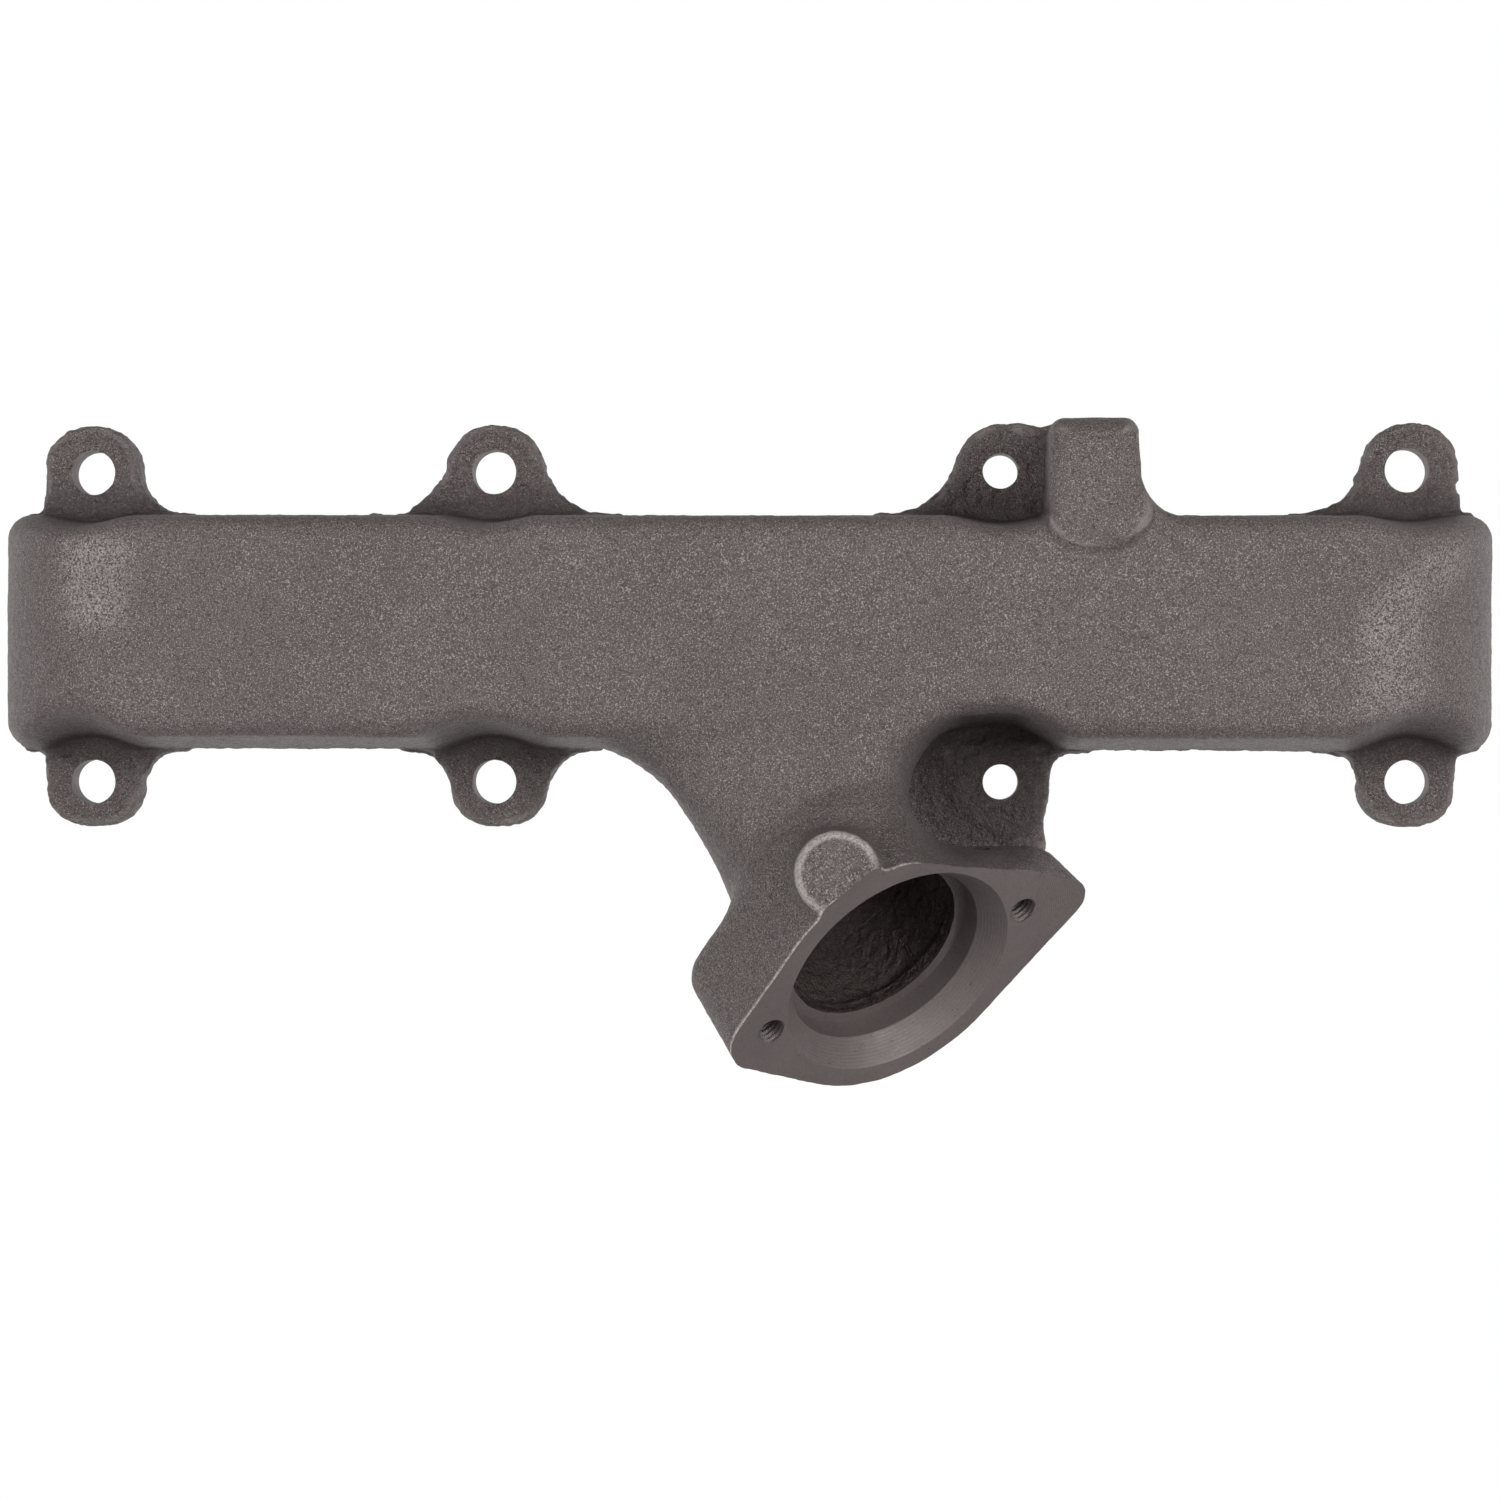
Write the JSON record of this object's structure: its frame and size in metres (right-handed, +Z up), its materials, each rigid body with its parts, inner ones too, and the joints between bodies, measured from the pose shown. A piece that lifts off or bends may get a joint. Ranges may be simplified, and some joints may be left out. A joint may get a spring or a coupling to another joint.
{
  "type": "exhaust manifold",
  "caption": "Cast-iron log exhaust manifold with bolted port flanges, a collector neck and a slanted two-stud outlet flange with a conical gasket seat.",
  "frame": {"origin": "centre of the head bolt pattern, on the machined face that meets the cylinder head", "axes": "+X along the log towards the outlet's side, +Y into the cylinder head, +Z up"},
  "size_m": [0.432, 0.0953, 0.1904],
  "materials": {
    "cast_iron": "sand cast, warm dark grey, rough",
    "machined_iron": "machined, satin grey"
  },
  "bodies": {
    "root": {"log_top_wall": "cast_iron", "log_bottom_wall_left": "cast_iron", "log_bottom_wall_right": "cast_iron", "log_front_wall": "cast_iron", "log_end_elbow_left": "cast_iron", "log_end_elbow_right": "cast_iron", "log_rear_wall_1": "cast_iron", "log_rear_wall_2": "cast_iron", "log_rear_wall_3": "cast_iron", "port_flange_1": "machined_iron", "port_flange_2": "machined_iron", "port_flange_3": "machined_iron", "port_flange_4": "machined_iron", "bolt_ear_upper_1": "cast_iron", "bolt_ear_lower_1": "cast_iron", "bolt_ear_upper_2": "cast_iron", "bolt_ear_lower_2": "cast_iron", "bolt_ear_upper_3": "cast_iron", "bolt_ear_lower_3": "cast_iron", "bolt_ear_upper_4": "cast_iron", "bolt_ear_lower_4": "cast_iron", "collector_neck": "cast_iron", "outlet_neck": "cast_iron", "stud_lug_1": "cast_iron", "stud_lug_2": "cast_iron", "outlet_flange": "machined_iron", "top_block": "cast_iron", "round_boss": "cast_iron"}
  },
  "joints": []
}
